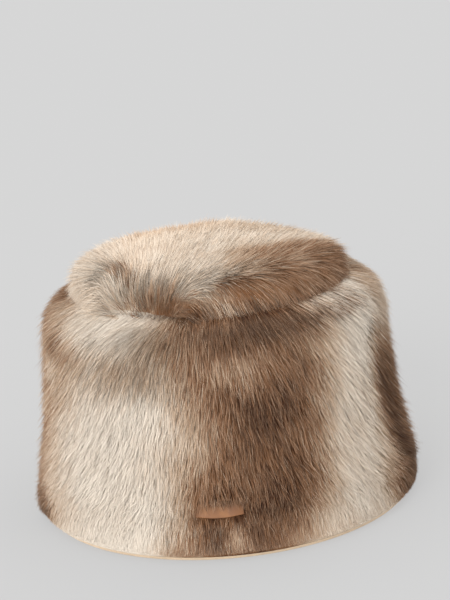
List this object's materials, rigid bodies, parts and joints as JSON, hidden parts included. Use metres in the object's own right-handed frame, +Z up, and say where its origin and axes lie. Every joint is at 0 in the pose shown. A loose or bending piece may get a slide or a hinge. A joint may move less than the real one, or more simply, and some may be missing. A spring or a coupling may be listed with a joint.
{
  "type": "faux fur hat",
  "caption": "Tall round soft hat of deep faux fur with a plump round lid, a cloth-bound rim and a small bare leather tab low at the front.",
  "frame": {"origin": "middle of the hat's outline, on the floor under its rim", "axes": "+Z up through the lid, -Y the front with the leather tab, +X to the right of one who looks at the front"},
  "size_m": [0.2514, 0.2392, 0.1757],
  "materials": {
    "band_fur": "deep soft pile in cream and brown stripes",
    "lid_fur": "deep soft pile, cream with brown",
    "binding_cloth": "matt woven cloth",
    "tab_leather": "smooth matt, bare"
  },
  "bodies": {
    "root": {"side_band": "band_fur", "crown_lid": "lid_fur", "rim_binding": "binding_cloth", "leather_tab": "tab_leather"}
  },
  "joints": []
}
